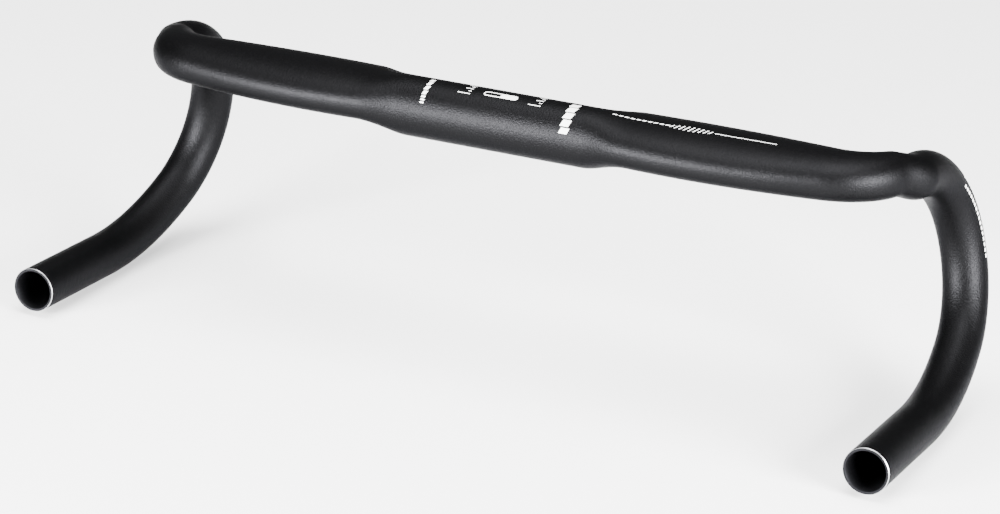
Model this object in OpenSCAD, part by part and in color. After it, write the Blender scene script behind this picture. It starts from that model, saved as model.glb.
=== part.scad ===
// Road drop handlebar: one swaged and bent aluminium tube with printed graphics.
// The origin is the centre of the stem clamp zone. +X runs along the bar to the rider's right,
// +Y points the way the bicycle rides, and +Z is up. The tube is symmetrical about X = 0.

/* [Clamp zone] */
// Outer diameter where the stem clamps
clamp_d = 31.8; // [25.4:0.1:35]
// Half of the length that stays round at the clamp diameter
clamp_half = 50; // [35:1:70]
// Wall thickness in the clamp zone
clamp_wall = 2.4; // [1.6:0.1:3.5]

/* [Flattened tops] */
// Length over which the round clamp zone is pressed into the flat top
swage_len = 27; // [15:1:40]
// Front-to-back width of the top beside the clamp zone
chord_inner = 43; // [32:0.5:52]
// Front-to-back width of the top half way out
chord_middle = 42.5; // [30:0.5:52]
// Front-to-back width of the top where it starts to fade into the round tube
chord_outer = 22.5; // [18:0.5:30]
// Height of the top beside the clamp zone
thick_inner = 23.5; // [18:0.5:30]
// Height of the top where it starts to fade into the round tube
thick_outer = 22.5; // [18:0.5:30]
// Forward offset of the top beside the clamp zone
forward_inner = 2.3; // [-3:0.1:8]
// Forward offset of the top half way out
forward_middle = 2.8; // [-3:0.1:8]
// Forward offset of the top where it starts to fade
forward_outer = 5.5; // [-3:0.1:8]
// Height of the top's middle above the clamp axis
rise = 2; // [-3:0.1:5]
// Tilt of the top, with its front edge up
pitch = 6.5; // [-5:0.5:15]
// How square the top's section is: 2 is an ellipse
squareness = 2.25; // [2:0.05:3]
// Length over which the flat top fades into the round tube before the hook
fade_len = 18.3; // [10:0.1:40]

/* [Bends] */
// Distance from the middle of the bar to the start of each shoulder bend
shoulder_x = 178; // [150:1:210]
// Centreline radius of the shoulder bend
shoulder_r = 35; // [30:1:45]
// Straight length between the shoulder bend and the hook
ramp_len = 4; // [2:1:30]
// Downward angle of that straight length
ramp_angle = 5; // [0:1:15]
// Outward lean of the hooks
flare = 12; // [0:1:20]
// Centreline radius at the top of the hook
upper_r = 55; // [40:1:75]
// Turn at the top of the hook
upper_turn = 92; // [70:1:100]
// Centreline radius at the front of the hook
middle_r = 50; // [40:1:80]
// Turn at the front of the hook
middle_turn = 53; // [30:1:60]
// Centreline radius where the hook runs into the drop
lower_r = 130; // [90:1:150]
// Turn where the hook runs into the drop
lower_turn = 32.5; // [20:0.5:40]

/* [Drops] */
// Outer diameter of the hooks and drops
drop_d = 24; // [22.2:0.1:25.4]
// Wall thickness of the hooks and drops
drop_wall = 1.6; // [1.2:0.1:2.5]
// Length of the straight drop behind the hook
drop_len = 69; // [40:1:110]

/* [Printed graphics] */
// Thickness of the printed film
film = 0.08; // [0.05:0.01:0.15]
// Middle of the graphics on the clamp zone
print_x = 3; // [-5:0.5:5]
// Angle of the badge around the clamp zone, from the front, over the top
badge_angle = 105; // [90:1:120]
// Length of the badge
badge_len = 19; // [12:1:26]
// Width of the badge
badge_w = 3.6; // [3:0.1:6]
// Distance from the badge's middle to each alignment scale
scale_offset = 20; // [18:0.5:24]
// Length of an alignment scale's longest line
scale_len = 7; // [5:0.5:8]
// Number of lines on each alignment scale
scale_lines = 5; // [3:1:7]
// Angle between two lines of an alignment scale
scale_step = 8; // [6:0.5:10]
// Distance from the badge's middle to the row of bars at each end
row_offset = 40.5; // [36:0.5:43]
// Length of the line printed on the right top
line_len = 33; // [15:1:40]
// Distance along the tube where the print on the right top starts
stripe_start = 64; // [58:1:80]
// Number of dashes in the print on the right top
dash_count = 10; // [6:1:14]
// Number of dashes in each row on the right hook
hook_dashes = 16; // [8:1:20]

/* [Hidden] */

$fn = 96;
sides = 36;          // facets around the flattened tops
weld = 0.02;         // how far inside its neighbour's wall a piece of the tube runs
lap = 0.3;           // length by which it runs in there
swage_rings = 6;     // rings along the swaged length
top_rings = 12;      // rings along the straight top
shoulder_rings = 13; // rings along the shoulder bend and the ramp
tube_color = [0.10, 0.10, 0.11];
ink_color = [0.92, 0.92, 0.92];

// The ramp's direction leans out with the hook. The shoulder bend lies in the plane that
// holds the X axis and that direction.
ramp_dir = [sin(ramp_angle) * sin(flare), cos(ramp_angle), -sin(ramp_angle) * cos(flare)];
shoulder_turn = acos(ramp_dir.x);
shoulder_tilt = atan2(-ramp_dir.z, ramp_dir.y);
shoulder_end = shoulder_x + shoulder_r * shoulder_turn * PI / 180;
tube_round = shoulder_end + ramp_len;
fade_start = tube_round - fade_len;
top_start = clamp_half + swage_len;

// Smooth step from 0 to 1
function ease(t) = let (u = min(max(t, 0), 1)) u * u * (3 - 2 * u);

// Quadratic through a, b and c at t = 0, 0.5 and 1
function through(t, a, b, c) =
    a * (1 - t) * (1 - 2 * t) + 4 * b * t * (1 - t) + c * t * (2 * t - 1);

function mix(t, a, b) = a + (b - a) * t;

// Angle turned by the shoulder bend at the distance s along the tube
function turned(s) = min(max((s - shoulder_x) / shoulder_r * 180 / PI, 0), shoulder_turn);

// In the shoulder's plane: the direction along the tube, the direction to the bend's inside,
// and the plane's own normal
function inward() = [0, cos(shoulder_tilt), -sin(shoulder_tilt)];
function normal() = [0, sin(shoulder_tilt), cos(shoulder_tilt)];
function along(s) = cos(turned(s)) * [1, 0, 0] + sin(turned(s)) * inward();
function across(s) = cos(turned(s)) * inward() - sin(turned(s)) * [1, 0, 0];

// Centreline from the middle of the bar to the end of the ramp
function spine(s) =
    [min(s, shoulder_x) + shoulder_r * sin(turned(s)), 0, 0]
    + shoulder_r * (1 - cos(turned(s))) * inward()
    + max(s - shoulder_end, 0) * along(s);

// How far the section is pressed flat: 0 is the round tube and 1 is the full wing
inner_half = function (s) s < (clamp_half + fade_start) / 2;
function flatness(s) = inner_half(s) ? ease((s - clamp_half) / swage_len)
    : 1 - ease((s - fade_start) / (tube_round - fade_start));
function top_part(s) = min(max((s - top_start) / (fade_start - top_start), 0), 1);
function round_d(s) = inner_half(s) ? clamp_d : drop_d;
function chord(s) =
    mix(flatness(s), round_d(s), through(top_part(s), chord_inner, chord_middle, chord_outer));
function thick(s) =
    mix(flatness(s), round_d(s), mix(top_part(s), thick_inner, thick_outer));
function forward(s) =
    flatness(s) * through(top_part(s), forward_inner, forward_middle, forward_outer);
function wall(s) = mix(ease((s - clamp_half) / swage_len), clamp_wall, drop_wall);

// Superellipse term: keeps the sign, and raises the size to 2 / exponent
function bulge(v, s) = sign(v) * pow(abs(v), 2 / mix(flatness(s), 2, squareness));

// A point of the tube's skin: s along the tube, and angle around it from the front over the
// top. grow is added to the section's half sizes.
function skin(s, angle, grow) =
    let (
        y = bulge(cos(angle), s) * (chord(s) / 2 + grow) + forward(s),
        z = bulge(sin(angle), s) * (thick(s) / 2 + grow) + flatness(s) * rise,
        tilt = shoulder_tilt + flatness(s) * pitch
    )
    spine(s) + (y * cos(tilt) - z * sin(tilt)) * across(s)
    + (y * sin(tilt) + z * cos(tilt)) * normal();

// Distances of the rings of the flattened part. The second and the last but one are past the
// ends of the round tubes, which lie between rings.
ring_s = concat(
    [clamp_half, clamp_half + 2 * lap],
    [for (i = [1:swage_rings - 1]) clamp_half + swage_len * i / swage_rings],
    [for (i = [0:top_rings - 1]) mix(i / top_rings, top_start, shoulder_x)],
    [for (i = [0:shoulder_rings - 1]) mix(i / shoulder_rings, shoulder_x, tube_round)],
    [tube_round - 2 * lap, tube_round]
);

module tube_section(d, wall) {
    difference() {
        circle(d = d);
        circle(d = d - 2 * wall);
    }
}

// The clamp zone, round inside and out
module clamp_zone() {
    rotate([0, 90, 0])
        linear_extrude(2 * (clamp_half + lap), center = true)
            tube_section(clamp_d, clamp_wall);
}

// A flattened top, from the clamp zone to the end of the ramp, the right one for side = 1 and
// the left one for side = -1: an outer and an inner skin joined by a flat ring at each end
module flat_top(side) {
    rings = len(ring_s);
    // Where the tube is round, both skins' facets pass just outside the true circles
    function radius(inner, s) = round_d(s) / 2 - inner * wall(s);
    function grow(inner, s) =
        (1 - flatness(s)) * (weld + radius(inner, s) * (1 / cos(180 / sides) - 1))
        - inner * wall(s);
    points = [
        for (inner = [0, 1]) for (s = ring_s) for (j = [0:sides - 1])
            let (p = skin(s, 360 * j / sides, grow(inner, s)))
            [side * p.x, p.y, p.z]
    ];
    function at(inner, i, j) = (inner * rings + i) * sides + j % sides;
    skins = [
        for (i = [0:rings - 2]) for (j = [0:sides - 1]) each [
            [at(0, i, j), at(0, i + 1, j), at(0, i + 1, j + 1)],
            [at(0, i, j), at(0, i + 1, j + 1), at(0, i, j + 1)],
            [at(1, i, j), at(1, i + 1, j + 1), at(1, i + 1, j)],
            [at(1, i, j), at(1, i, j + 1), at(1, i + 1, j + 1)]
        ]
    ];
    last = rings - 1;
    ends = [
        for (j = [0:sides - 1]) each [
            [at(0, 0, j), at(0, 0, j + 1), at(1, 0, j + 1)],
            [at(0, 0, j), at(1, 0, j + 1), at(1, 0, j)],
            [at(0, last, j), at(1, last, j + 1), at(0, last, j + 1)],
            [at(0, last, j), at(1, last, j), at(1, last, j + 1)]
        ]
    ];
    faces = concat(skins, ends);
    polyhedron(points, side > 0 ? faces : [for (f = faces) [f[0], f[2], f[1]]]);
}

// Puts its children at the start of a hook, the right one for side = 1 and the left one for
// side = -1: local +X runs along the tube there, and local +Y is the side that the hook bends to
module at_hook(side) {
    start = spine(tube_round);
    translate([side * start.x, start.y, start.z])
        rotate([0, -side * flare, 0])
            rotate([-90, 0, 90])
                rotate([0, 0, ramp_angle])
                    children();
}

// A bend of the round tube, with its children at the bend's far end. inset thins its wall from
// both sides, and before and after are the lengths by which it runs into its neighbours' walls.
module bend(radius, turn, inset, before, after) {
    per_mm = 180 / (PI * radius);
    translate([0, radius, 0])
        rotate([0, 0, -90 - before * per_mm])
            rotate_extrude(angle = turn + (before + after) * per_mm)
                translate([radius, 0])
                    tube_section(drop_d - 2 * inset, drop_wall - 2 * inset);
    translate([radius * sin(turn), radius * (1 - cos(turn)), 0])
        rotate([0, 0, turn])
            children();
}

// The insets differ from one bend to the next, so that each joint is a tongue inside a wall
module hook(side) {
    at_hook(side)
        bend(upper_r, upper_turn, 0, lap, 0)
            bend(middle_r, middle_turn, 2 * weld, lap, lap)
                bend(lower_r, lower_turn, weld, 0, lap)
                    rotate([-90, 0, -90])
                        linear_extrude(drop_len)
                            tube_section(drop_d, drop_wall);
}

module bar_tube() {
    color(tube_color) {
        clamp_zone();
        flat_top(1);
        hook(1);
        flat_top(-1);
        hook(-1);
    }
}

// Lays a flat outline on the clamp zone as a thin film: its X runs along the bar, and its
// middle is at the given angle around it
module print_on_clamp(x, angle) {
    intersection() {
        rotate([0, 90, 0])
            linear_extrude(2 * clamp_half, center = true)
                tube_section(clamp_d + 2 * film, film);
        rotate([angle - 90, 0, 0])
            translate([x, 0, 0])
                linear_extrude(clamp_d)
                    children();
    }
}

// A slanted bar: along is its size along the tube, around is its size around it
module slanted_bar(along, around) {
    lean = around / 3;
    polygon([
        [-along / 2 - lean / 2, -around / 2],
        [along / 2 - lean / 2, -around / 2],
        [along / 2 + lean / 2, around / 2],
        [-along / 2 + lean / 2, around / 2]
    ]);
}

// A bar with round ends: an open frame on its left half and filled on its right half
module centre_badge() {
    frame_w = 0.5;
    module pill(shrink) {
        half = badge_len / 2 - badge_w / 2;
        square([2 * half, badge_w - 2 * shrink], center = true);
        for (x = [-half, half])
            translate([x, 0])
                circle(d = badge_w - 2 * shrink);
    }
    color(ink_color)
        print_on_clamp(print_x, badge_angle)
            difference() {
                pill(0);
                intersection() {
                    pill(frame_w);
                    translate([-badge_len, -badge_w / 2])
                        square([badge_len, badge_w]);
                }
            }
}

// Lines around the clamp zone for setting the bar's angle: a long one first, then short and
// middling ones by turns, all ending level at +X
module alignment_scale(x) {
    line_w = 0.35;
    first = badge_angle + 10;
    function length(i) = i == 0 ? scale_len : i % 2 == 1 ? scale_len / 4 : scale_len * 0.6;
    color(ink_color)
        for (i = [0:scale_lines - 1])
            print_on_clamp(x + (scale_len - length(i)) / 2, first - i * scale_step)
                square([length(i), line_w], center = true);
}

module alignment_scale_left() { alignment_scale(print_x - scale_offset); }
module alignment_scale_right() { alignment_scale(print_x + scale_offset); }

// A row of slanted bars around the end of the clamp zone. widths lists the bars' sizes around
// the tube, from the rider's side upwards, and first is the first bar's angle.
module bar_row(x, first, length, widths) {
    gap = 0.8;
    per_mm = 360 / (PI * clamp_d);
    function before(i) = i == 0 ? 0 : before(i - 1) + widths[i - 1] + gap;
    color(ink_color)
        for (i = [0:len(widths) - 1])
            print_on_clamp(x, first - (before(i) + widths[i] / 2) * per_mm)
                slanted_bar(length, widths[i]);
}

module end_bars_left() {
    bar_row(print_x - row_offset, 152, 2.2, [0.7, 0.8, 1, 2.2, 2.6, 2.6, 2.2]);
}

module end_bars_right() {
    bar_row(print_x + row_offset, 161, 4.6, [3, 3.6, 3.6, 3.6, 3]);
}

// A strip of film along the crown of the right top, from s0 to s1 along the tube. slant is how
// far its front edge lies beyond its rear edge along the tube.
module print_on_top(s0, s1, width, slant) {
    steps = max(1, round((s1 - s0) / 4));
    // The crown is close to flat, so a distance across it is a part of the half chord
    function crown_angle(s, y) = acos(pow(abs(y) / (chord(s) / 2), squareness / 2) * sign(y));
    function on_top(t, edge, lift) =
        let (s = mix(t, s0, s1) + edge * slant)
        skin(s, crown_angle(s, edge * width), lift);
    points = [
        for (i = [0:steps]) for (lift = [0, film]) for (edge = [-0.5, 0.5])
            on_top(i / steps, edge, lift)
    ];
    // Four corners to a section, counted round it
    corner = [0, 1, 3, 2];
    function at(i, k) = 4 * i + corner[k % 4];
    faces = concat(
        [for (i = [0:steps - 1]) for (k = [0:3]) each [
            [at(i, k), at(i + 1, k + 1), at(i + 1, k)],
            [at(i, k), at(i, k + 1), at(i + 1, k + 1)]
        ]],
        [[at(0, 0), at(0, 3), at(0, 2)], [at(0, 0), at(0, 2), at(0, 1)]],
        [[at(steps, 0), at(steps, 1), at(steps, 2)], [at(steps, 0), at(steps, 2), at(steps, 3)]]
    );
    polyhedron(points, faces);
}

// Small dashes, then a band of taller slanted bars, then a fine line
module top_stripe_right() {
    dash_pitch = 3.2;
    dash_len = 2;
    dash_w = 0.8;
    dash_slant = 0.5;
    bar_pitch = 2.6;
    bar_len = 0.6;
    bar_slant = 1.6;
    bars = 9;
    line_w = 0.3;
    band_start = stripe_start + dash_count * dash_pitch;
    line_start = band_start + bars * bar_pitch;
    color(ink_color) {
        for (i = [0:dash_count - 1])
            print_on_top(stripe_start + i * dash_pitch,
                         stripe_start + i * dash_pitch + dash_len, dash_w, dash_slant);
        for (i = [0:bars - 1])
            print_on_top(band_start + i * bar_pitch, band_start + i * bar_pitch + bar_len,
                         2 + 3 * sin(180 * (i + 0.5) / bars), bar_slant);
        print_on_top(line_start, line_start + line_len, line_w, 0);
    }
}

// Two rows of small dashes on the outside of the right hook's upper bend
module hook_print_right() {
    first = 40;
    last = upper_turn - 1;
    step = (last - first) / hook_dashes;
    dash_w = 1.6;
    // Angles of the rows around the tube: 0 points away from the bend's centre and -90 points
    // away from the bicycle
    rows = [-62, -90];
    color(ink_color)
        at_hook(1)
            translate([0, upper_r, 0])
                rotate([0, 0, -90])
                    for (row = rows) for (i = [0:hook_dashes - 1])
                        rotate([0, 0, first + i * step])
                            rotate_extrude(angle = step * 0.62)
                                translate([upper_r, 0])
                                    rotate(row)
                                        intersection() {
                                            tube_section(drop_d + 2 * film, film);
                                            translate([0, -dash_w / 2])
                                                square([drop_d, dash_w]);
                                        }
}

bar_tube();
centre_badge();
alignment_scale_left();
alignment_scale_right();
end_bars_left();
end_bars_right();
top_stripe_right();
hook_print_right();
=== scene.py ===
import math

import bpy
from mathutils import Matrix, Quaternion, Vector


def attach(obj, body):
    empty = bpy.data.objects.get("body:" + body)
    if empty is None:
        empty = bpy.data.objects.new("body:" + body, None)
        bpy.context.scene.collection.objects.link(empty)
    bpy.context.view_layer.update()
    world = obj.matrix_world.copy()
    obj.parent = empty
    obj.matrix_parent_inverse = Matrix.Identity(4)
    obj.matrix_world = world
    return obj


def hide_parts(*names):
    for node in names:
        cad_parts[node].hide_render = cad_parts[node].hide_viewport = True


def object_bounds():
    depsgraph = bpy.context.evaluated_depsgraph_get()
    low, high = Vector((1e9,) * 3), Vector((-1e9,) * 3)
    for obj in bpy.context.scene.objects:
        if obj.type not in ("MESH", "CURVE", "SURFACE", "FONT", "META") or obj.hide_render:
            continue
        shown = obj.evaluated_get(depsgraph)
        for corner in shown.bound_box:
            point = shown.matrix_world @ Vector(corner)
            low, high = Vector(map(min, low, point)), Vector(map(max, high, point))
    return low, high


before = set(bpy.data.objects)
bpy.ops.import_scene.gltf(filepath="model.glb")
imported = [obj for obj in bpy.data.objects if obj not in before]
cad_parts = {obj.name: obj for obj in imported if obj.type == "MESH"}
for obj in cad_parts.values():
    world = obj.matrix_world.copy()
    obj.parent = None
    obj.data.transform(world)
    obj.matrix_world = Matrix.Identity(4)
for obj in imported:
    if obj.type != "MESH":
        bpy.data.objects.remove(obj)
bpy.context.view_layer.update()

# --- The bar tube -----------------------------------------------------------------------------
# One length of butted 6061 aluminium tube. It is swaged from the 31.8 mm clamp zone to 24 mm,
# pressed into a flat top on each side and bent round mandrels into the shoulders and hooks.
# It is then bead blasted and anodised black, and its ends are cut square and deburred.

MM = 0.001
# Millimetres, from the middle of the bar outwards
CLAMP_D = 31.8
CLAMP_HALF = 50
CLAMP_WALL = 2.4
SWAGE_LEN = 27
# The pressed top's section: front-to-back width at its inner end, middle and outer end; height
# at its two ends; how far its centre stands forward of the bend line, and above it
CHORD = (43, 42.5, 22.5)
THICK = (23.5, 22.5)
FORWARD = (2.3, 2.8, 5.5)
RISE = 2
# How far the flat top tips up at the front, and its superellipse exponent (2 is an ellipse)
PITCH = math.radians(6.5)
SQUARENESS = 2.25
# The stretch before the hook over which the flat top becomes round again
FADE_LEN = 18.3
SHOULDER_X = 178
SHOULDER_R = 35
# The short straight after the shoulder, how far it points down, and how far the drops splay out
RAMP_LEN = 4
RAMP_ANGLE = math.radians(5)
FLARE = math.radians(12)
# Radius and turn of each bend of the hook, from the top down
HOOK_BENDS = ((55, math.radians(92)), (50, math.radians(53)), (130, math.radians(32.5)))
DROP_D = 24
DROP_WALL = 1.6
DROP_LEN = 69
DEBURR = 0.25
# How finely the tube is drawn
RING_STEP = 2.5
SIDES = 72
# What a ring's points lie on, as a number that is averaged over each face
SKIN, CUT_EDGE, BORE = 0, 1, 2

X, Y = Vector((1, 0, 0)), Vector((0, 1, 0))
ramp_dir = Vector((
    math.sin(RAMP_ANGLE) * math.sin(FLARE),
    math.cos(RAMP_ANGLE),
    -math.sin(RAMP_ANGLE) * math.cos(FLARE),
))
shoulder_turn = math.acos(ramp_dir.x)
shoulder_tilt = math.atan2(-ramp_dir.z, ramp_dir.y)
inward = Vector((0, math.cos(shoulder_tilt), -math.sin(shoulder_tilt)))
upward = Vector((0, math.sin(shoulder_tilt), math.cos(shoulder_tilt)))
shoulder_end = SHOULDER_X + SHOULDER_R * shoulder_turn
hook_start = shoulder_end + RAMP_LEN
hook_len = sum(radius * turn for radius, turn in HOOK_BENDS)
half_len = hook_start + hook_len + DROP_LEN
fade_start = hook_start - FADE_LEN
top_start = CLAMP_HALF + SWAGE_LEN


def ease(t):
    """0 to 1 as t goes from 0 to 1, level at both ends."""
    t = min(max(t, 0), 1)
    return t * t * (3 - 2 * t)


def mix(t, a, b):
    return a + (b - a) * t


def through(t, a, b, c):
    """The quadratic through a, b and c at t = 0, 0.5 and 1."""
    return a * (1 - t) * (1 - 2 * t) + 4 * b * t * (1 - t) + c * t * (2 * t - 1)


def shoulder_station(s):
    """Centre, sideways axis and upper axis of the tube at s mm from the bar's middle."""
    turned = min(max((s - SHOULDER_X) / SHOULDER_R, 0), shoulder_turn)
    along = math.cos(turned) * X + math.sin(turned) * inward
    across = math.cos(turned) * inward - math.sin(turned) * X
    centre = (min(s, SHOULDER_X) + SHOULDER_R * math.sin(turned)) * X
    centre += SHOULDER_R * (1 - math.cos(turned)) * inward
    centre += max(s - shoulder_end, 0) * along
    return centre, across, upward


def station(s):
    """The same anywhere on the right half, with the hook and drop."""
    centre, across, up = shoulder_station(min(s, hook_start))
    rest = s - hook_start
    if rest <= 0:
        return centre, across, up
    axis = Y.cross(Vector((math.sin(FLARE), 0, -math.cos(FLARE))))
    along = ramp_dir.copy()
    for radius, turn in HOOK_BENDS:
        arc = min(rest, radius * turn)
        bend = Quaternion(axis, arc / radius)
        to_middle = axis.cross(along) * radius
        centre = centre + to_middle - bend @ to_middle
        along, across, up = bend @ along, bend @ across, bend @ up
        rest -= arc
        if rest <= 0:
            return centre, across, up
    return centre + rest * along, across, up


def flatness(s):
    """0 where the tube is round, 1 where it is fully pressed into the flat top."""
    if s < fade_start:
        return ease((s - CLAMP_HALF) / SWAGE_LEN)
    return 1 - ease((s - fade_start) / FADE_LEN)


def section(s):
    """Width, height, forward offset, rise, tilt and squareness of the section at s mm."""
    flat = flatness(s)
    part = min(max((s - top_start) / (fade_start - top_start), 0), 1)
    round_d = CLAMP_D if s < fade_start else DROP_D
    return (
        mix(flat, round_d, through(part, *CHORD)),
        mix(flat, round_d, mix(part, *THICK)),
        flat * through(part, *FORWARD),
        flat * RISE,
        shoulder_tilt + flat * PITCH,
        mix(flat, 2, SQUARENESS),
    )


def wall(s):
    """The tube's wall, butted thicker in the clamp zone."""
    return mix(ease((s - CLAMP_HALF) / SWAGE_LEN), CLAMP_WALL, DROP_WALL)


def rings():
    """(signed distance, inset, finish) of each ring, once round the wall's outline: along the
    skin, over the right end, back through the bore and over the left end."""
    skin_end = half_len - DEBURR
    steps = round(skin_end / RING_STEP)
    places = [skin_end * i / steps for i in range(-steps, steps + 1)]
    skin = [(s, 0, SKIN) for s in places]
    # The bore needs only half as many rings
    bore = [(s, wall(abs(s)), BORE) for s in places[::-2]]
    end = [(DEBURR, CUT_EDGE), (DROP_WALL - DEBURR, BORE)]
    right = [(half_len, inset, finish) for inset, finish in end]
    left = [(-half_len, inset, finish) for inset, finish in end[::-1]]
    return skin + right + bore + left


def linear(colour):
    """An sRGB hex colour as the linear RGBA that Blender works in."""
    parts = [int(colour[i:i + 2], 16) / 255 for i in (1, 3, 5)]
    return [c / 12.92 if c <= 0.04045 else ((c + 0.055) / 1.055) ** 2.4 for c in parts] + [1]


def add_node(tree, kind, inputs=None, **settings):
    """Adds a node, sets its properties, and sets or links its inputs."""
    node = tree.nodes.new(kind)
    for name, value in settings.items():
        setattr(node, name, value)
    for key, value in (inputs or {}).items():
        if isinstance(value, bpy.types.NodeSocket):
            tree.links.new(value, node.inputs[key])
        else:
            node.inputs[key].default_value = value
    return node


def new_material(name):
    """A material with only its output node, and its tree."""
    made = bpy.data.materials.new(name)
    made.use_nodes = True
    made.node_tree.nodes.clear()
    return made, made.node_tree


# Bead-blasted, black anodised aluminium. The blasting leaves fine pits that scatter light into
# broad soft bands with a slight sparkle, and the dyed oxide keeps them near black.
blasted, tree = new_material("bead_blasted_black_anodised_aluminium")
place = add_node(tree, "ShaderNodeTexCoord").outputs["Object"]
# Pits are about 0.1 mm across; they are drawn 0.85 mm across so that they show.
PIT = 0.85 * MM
pits = add_node(tree, "ShaderNodeTexNoise", {"Vector": place, "Scale": 1 / PIT, "Detail": 2,
                                             "Roughness": 0.6})
# The dye takes a little unevenly over tens of millimetres.
cloud = add_node(tree, "ShaderNodeTexNoise", {"Vector": place, "Scale": 1 / (35 * MM),
                                              "Detail": 2})
dye = add_node(tree, "ShaderNodeMix", {"Factor": cloud.outputs["Fac"],
                                       "A": linear("#141415"), "B": linear("#171718")},
               data_type="RGBA")
grain = add_node(tree, "ShaderNodeMapRange", {"Value": pits.outputs["Fac"], "From Min": 0.3,
                                              "From Max": 0.7, "To Min": 0.38, "To Max": 0.5})
dents = add_node(tree, "ShaderNodeBump", {"Height": pits.outputs["Fac"], "Strength": 1.0,
                                          "Distance": 0.22 * MM})
shader = add_node(tree, "ShaderNodeBsdfPrincipled", {
    "Base Color": dye.outputs["Result"], "Metallic": 1.0, "Specular Tint": linear("#c0c0c1"),
    "Roughness": grain.outputs["Result"], "Normal": dents.outputs["Normal"]})
add_node(tree, "ShaderNodeOutputMaterial", {"Surface": shader.outputs["BSDF"]})

# Sawn and deburred aluminium, bare where the cut went through the anodising: a thin bright
# line, made uneven by fine scratches about 0.3 mm apart.
cut, tree = new_material("cut_bare_aluminium")
place = add_node(tree, "ShaderNodeTexCoord").outputs["Object"]
scratches = add_node(tree, "ShaderNodeTexNoise", {"Vector": place, "Scale": 1 / (0.3 * MM),
                                                  "Detail": 3})
shine = add_node(tree, "ShaderNodeMapRange", {"Value": scratches.outputs["Fac"],
                                              "To Min": 0.25, "To Max": 0.45})
shader = add_node(tree, "ShaderNodeBsdfPrincipled", {
    "Base Color": linear("#c9cacc"), "Metallic": 1.0, "Roughness": shine.outputs["Result"]})
add_node(tree, "ShaderNodeOutputMaterial", {"Surface": shader.outputs["BSDF"]})

# The drawn bore and the end face take the black anodising too, but they were never blasted, so
# they are near black and patchy in gloss, about a millimetre from patch to patch.
drawn, tree = new_material("drawn_black_anodised_bore")
place = add_node(tree, "ShaderNodeTexCoord").outputs["Object"]
marks = add_node(tree, "ShaderNodeTexNoise", {"Vector": place, "Scale": 1 / (1.2 * MM),
                                              "Detail": 2})
dull = add_node(tree, "ShaderNodeMapRange", {"Value": marks.outputs["Fac"],
                                             "To Min": 0.5, "To Max": 0.7})
shader = add_node(tree, "ShaderNodeBsdfPrincipled", {
    "Base Color": linear("#1a1a1c"), "Metallic": 1.0, "Roughness": dull.outputs["Result"]})
add_node(tree, "ShaderNodeOutputMaterial", {"Surface": shader.outputs["BSDF"]})


def ring_points():
    """A mesh of one vertex per ring, in metres, that carries each ring's axes and sizes."""
    rows = []
    for s, inset, finish in rings():
        centre, across, up = station(abs(s))
        side = Vector((-1 if s < 0 else 1, 1, 1))
        width, height, forward, rise, tilt, square = section(abs(s))
        turn = Matrix(((math.cos(tilt), -math.sin(tilt)), (math.sin(tilt), math.cos(tilt))))
        offset = turn @ Vector((forward, rise))
        rows.append({
            "centre": (centre + offset.x * across + offset.y * up) * side * MM,
            "front": (turn[0][0] * across + turn[1][0] * up) * side,
            "crown": (turn[0][1] * across + turn[1][1] * up) * side,
            "half_width": (width / 2 - inset) * MM,
            "half_height": (height / 2 - inset) * MM,
            "roundness": 2 / square,
            "finish": finish,
        })
    mesh = bpy.data.meshes.new("ring_points")
    mesh.from_pydata([row["centre"] for row in rows], [], [])
    for name in ("front", "crown"):
        layer = mesh.attributes.new(name, "FLOAT_VECTOR", "POINT")
        layer.data.foreach_set("vector", [v for row in rows for v in row[name]])
    for name in ("half_width", "half_height", "roundness", "finish"):
        layer = mesh.attributes.new(name, "FLOAT", "POINT")
        layer.data.foreach_set("value", [row[name] for row in rows])
    return mesh


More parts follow.
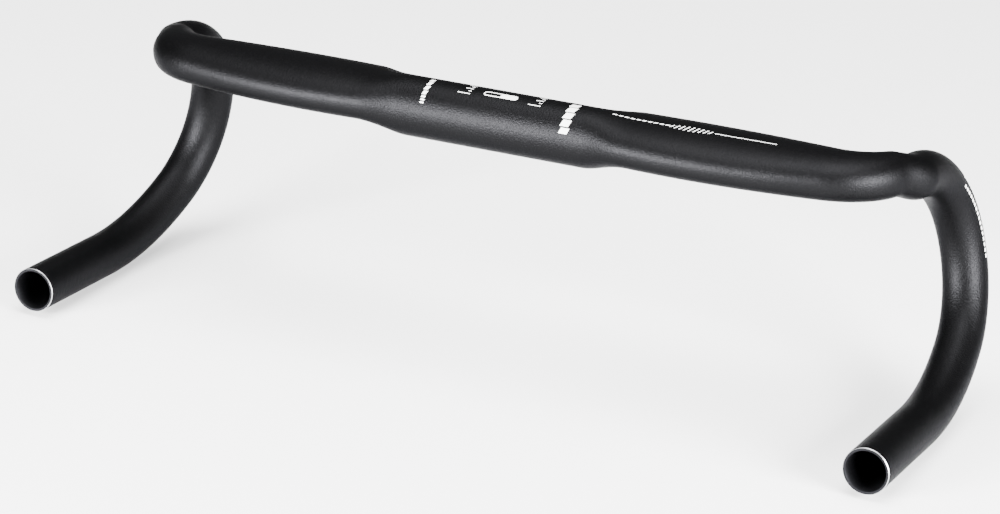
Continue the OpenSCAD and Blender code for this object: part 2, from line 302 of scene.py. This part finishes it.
def swept_tube_tree():
    """Geometry Nodes that skin the rings: a grid of rings by sides is wrapped round them, each
    ring a superellipse, and its two seams are welded."""
    tree = bpy.data.node_groups.new("swept_tube", "GeometryNodeTree")
    for name, kind in (("Rings", "Geometry"), ("Sides", "Int"), ("Weld distance", "Float"),
                       ("Skin", "Material"), ("Cut edge", "Material"), ("Bore", "Material")):
        tree.interface.new_socket(name, in_out="INPUT", socket_type="NodeSocket" + kind)
    tree.interface.new_socket("Tube", in_out="OUTPUT", socket_type="NodeSocketGeometry")
    given = tree.nodes.new("NodeGroupInput").outputs

    def calc(operation, *values):
        return add_node(tree, "ShaderNodeMath", dict(enumerate(values)),
                        operation=operation).outputs[0]

    count = add_node(tree, "GeometryNodeAttributeDomainSize", {"Geometry": given["Rings"]})
    columns = calc("ADD", given["Sides"], 1)
    grid = add_node(tree, "GeometryNodeMeshGrid", {
        "Size X": 1, "Size Y": 1, "Vertices X": calc("ADD", count.outputs["Point Count"], 1),
        "Vertices Y": columns})
    index = add_node(tree, "GeometryNodeInputIndex").outputs[0]
    ring = calc("MODULO", calc("FLOOR", calc("DIVIDE", calc("ADD", index, 0.5), columns)),
                count.outputs["Point Count"])
    angle = calc("MULTIPLY", calc("MODULO", index, columns),
                 calc("DIVIDE", math.tau, given["Sides"]))

    def at_ring(name, data_type="FLOAT"):
        if name == "position":
            value = add_node(tree, "GeometryNodeInputPosition").outputs[0]
        else:
            value = add_node(tree, "GeometryNodeInputNamedAttribute", {"Name": name},
                             data_type=data_type).outputs[0]
        sample = add_node(tree, "GeometryNodeSampleIndex",
                          {"Geometry": given["Rings"], "Value": value, "Index": ring},
                          data_type=data_type)
        return sample.outputs[0]

    roundness = at_ring("roundness")

    def along_axis(wave, half, axis):
        """The point's distance along one axis of its ring, as a vector."""
        turn = calc(wave, angle)
        size = calc("POWER", calc("ABSOLUTE", turn), roundness)
        reach = calc("MULTIPLY", calc("MULTIPLY", calc("SIGN", turn), size), at_ring(half))
        return add_node(tree, "ShaderNodeVectorMath",
                        {0: at_ring(axis, "FLOAT_VECTOR"), "Scale": reach},
                        operation="SCALE").outputs[0]

    reach = add_node(tree, "ShaderNodeVectorMath", {
        0: along_axis("COSINE", "half_width", "front"),
        1: along_axis("SINE", "half_height", "crown")}).outputs[0]
    place = add_node(tree, "ShaderNodeVectorMath",
                     {0: at_ring("position", "FLOAT_VECTOR"), 1: reach}).outputs[0]
    marked = add_node(tree, "GeometryNodeStoreNamedAttribute", {
        "Geometry": grid.outputs["Mesh"], "Name": "finish", "Value": at_ring("finish")})
    wrapped = add_node(tree, "GeometryNodeSetPosition",
                       {"Geometry": marked.outputs[0], "Position": place})
    welded = add_node(tree, "GeometryNodeMergeByDistance",
                      {"Geometry": wrapped.outputs[0], "Distance": given["Weld distance"]})
    # A face's finish is its corners' mean: 0 on the skin, 0.5 on the bare cut edge, 1.5 on the
    # end face and 2 in the bore. The cut edge and end face are flat shaded.
    finish = add_node(tree, "GeometryNodeInputNamedAttribute", {"Name": "finish"},
                      data_type="FLOAT").outputs[0]
    off_skin = calc("GREATER_THAN", finish, 0.25)
    past_edge = calc("GREATER_THAN", finish, 1.25)
    on_end = calc("MULTIPLY", off_skin, calc("LESS_THAN", finish, 1.75))
    smooth = add_node(tree, "GeometryNodeSetShadeSmooth",
                      {"Geometry": welded.outputs[0], "Selection": calc("SUBTRACT", 1, on_end)})
    outward = add_node(tree, "GeometryNodeFlipFaces", {"Mesh": smooth.outputs[0]})
    real = add_node(tree, "GeometryNodeRealizeInstances", {"Geometry": outward.outputs[0]})
    skinned = add_node(tree, "GeometryNodeSetMaterial",
                       {"Geometry": real.outputs[0], "Material": given["Skin"]})
    edged = add_node(tree, "GeometryNodeSetMaterial", {
        "Geometry": skinned.outputs[0], "Selection": off_skin, "Material": given["Cut edge"]})
    bored = add_node(tree, "GeometryNodeSetMaterial", {
        "Geometry": edged.outputs[0], "Selection": past_edge, "Material": given["Bore"]})
    add_node(tree, "NodeGroupOutput", {"Tube": bored.outputs[0]})
    return tree


def bake_nodes(name, mesh, tree, values):
    """Runs a Geometry Nodes tree on a mesh and gives the result as a plain mesh object."""
    maker = bpy.data.objects.new(name, mesh)
    bpy.context.collection.objects.link(maker)
    modifier = maker.modifiers.new("nodes", "NODES")
    modifier.node_group = tree
    for item in tree.interface.items_tree:
        if item.in_out == "INPUT" and item.name in values:
            modifier[item.identifier] = values[item.name]
    seen = bpy.context.evaluated_depsgraph_get()
    made = bpy.data.meshes.new_from_object(maker.evaluated_get(seen), depsgraph=seen)
    made.name = name
    # The first slot comes out empty, with no face on it
    if not made.materials[0]:
        made.materials.pop(index=0)
    maker.modifiers.clear()
    maker.data = made
    return maker


tube = bake_nodes("formed_bar_tube", ring_points(), swept_tube_tree(), {
    "Sides": SIDES, "Weld distance": 0.001 * MM,
    "Skin": blasted, "Cut edge": cut, "Bore": drawn})
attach(tube, "root")
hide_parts("bar_tube")

# --- The printed graphics ---------------------------------------------------------------------
# White two-part ink, pad printed in thin films on the anodised tube and baked on. They are a
# badge, two angle scales and a row of bars at each end of the clamp zone, a stripe on the right
# top and two rows of fine dashes on the right hook.

# Matte white ink: slightly thin, so the dark metal greys it a little in patches.
ink, tree = new_material("pad_printed_white_ink")
place = add_node(tree, "ShaderNodeTexCoord").outputs["Object"]
thin = add_node(tree, "ShaderNodeTexNoise", {"Vector": place, "Scale": 1 / (0.6 * MM),
                                             "Detail": 2})
tone = add_node(tree, "ShaderNodeMix", {"Factor": thin.outputs["Fac"],
                                        "A": linear("#f2f2f0"), "B": linear("#dcdcdb")},
                data_type="RGBA")
shader = add_node(tree, "ShaderNodeBsdfPrincipled", {
    "Base Color": tone.outputs["Result"], "Roughness": 0.55})
add_node(tree, "ShaderNodeOutputMaterial", {"Surface": shader.outputs["BSDF"]})

for name, print_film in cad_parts.items():
    if name != "bar_tube":
        print_film.data.materials.clear()
        print_film.data.materials.append(ink)

# --- The studio -------------------------------------------------------------------------------
# A plain pale paper floor, lit by one soft box on either side of the camera and one overhead.
# Distances are in metres.

low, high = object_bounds()
middle = (low + high) / 2

CAMERA_TURN = math.radians(25.71)
CAMERA_HEIGHT = math.radians(18.85)
CAMERA_FAR = 1.7687
CAMERA_ROLL = math.radians(1.53)
LOOK_AT = Vector((0.00287, 0, -0.07426))
# Focal length and sensor width in millimetres
LENS = 123.96
SENSOR = 36


def direction(turn, height):
    """Unit vector from the object, turned from straight behind the rider's side."""
    return Vector((math.sin(turn) * math.cos(height), -math.cos(turn) * math.cos(height),
                   math.sin(height)))


camera = bpy.data.objects.new("camera", bpy.data.cameras.new("camera"))
bpy.context.collection.objects.link(camera)
camera.data.lens = LENS
camera.data.sensor_width = SENSOR
camera.data.clip_start = 0.05
eye = direction(CAMERA_TURN, CAMERA_HEIGHT) * CAMERA_FAR
ahead = (LOOK_AT - eye).normalized()
aim = ahead.to_track_quat("-Z", "Y") @ Quaternion((0, 0, 1), CAMERA_ROLL)
camera.matrix_world = Matrix.Translation(eye) @ aim.to_matrix().to_4x4()
bpy.context.scene.camera = camera

FLOOR_HALF = 6
floor_mesh = bpy.data.meshes.new("floor")
floor_mesh.from_pydata([(x * FLOOR_HALF, y * FLOOR_HALF, low.z) for x, y in
                        ((-1, -1), (1, -1), (1, 1), (-1, 1))], [], [(0, 1, 2, 3)])
floor = bpy.data.objects.new("floor", floor_mesh)
bpy.context.collection.objects.link(floor)
paper, tree = new_material("white_backdrop_paper")
shader = add_node(tree, "ShaderNodeBsdfPrincipled", {
    "Base Color": linear("#f7f7f7"), "Roughness": 0.9})
add_node(tree, "ShaderNodeOutputMaterial", {"Surface": shader.outputs["BSDF"]})
floor_mesh.materials.append(paper)

SOFT_BOXES = (
    # turn from the camera, height, distance, size, watts
    (math.radians(-50), math.radians(8), 1.6, 0.8, 235),
    (math.radians(46), math.radians(12), 1.6, 0.8, 200),
    (math.radians(0), math.radians(88), 2.6, 2.2, 230),
)
for turn, height, far, size, watts in SOFT_BOXES:
    lamp = bpy.data.lights.new("soft_box", "AREA")
    lamp.size = size
    lamp.energy = watts
    soft_box = bpy.data.objects.new("soft_box", lamp)
    bpy.context.collection.objects.link(soft_box)
    way = direction(CAMERA_TURN + turn, height)
    facing = (-way).to_track_quat("-Z", "Y").to_matrix().to_4x4()
    soft_box.matrix_world = Matrix.Translation(middle + way * far) @ facing

world = bpy.data.worlds.new("studio")
bpy.context.scene.world = world
world.use_nodes = True
background = world.node_tree.nodes["Background"]
background.inputs["Color"].default_value = linear("#ffffff")
background.inputs["Strength"].default_value = 0.45
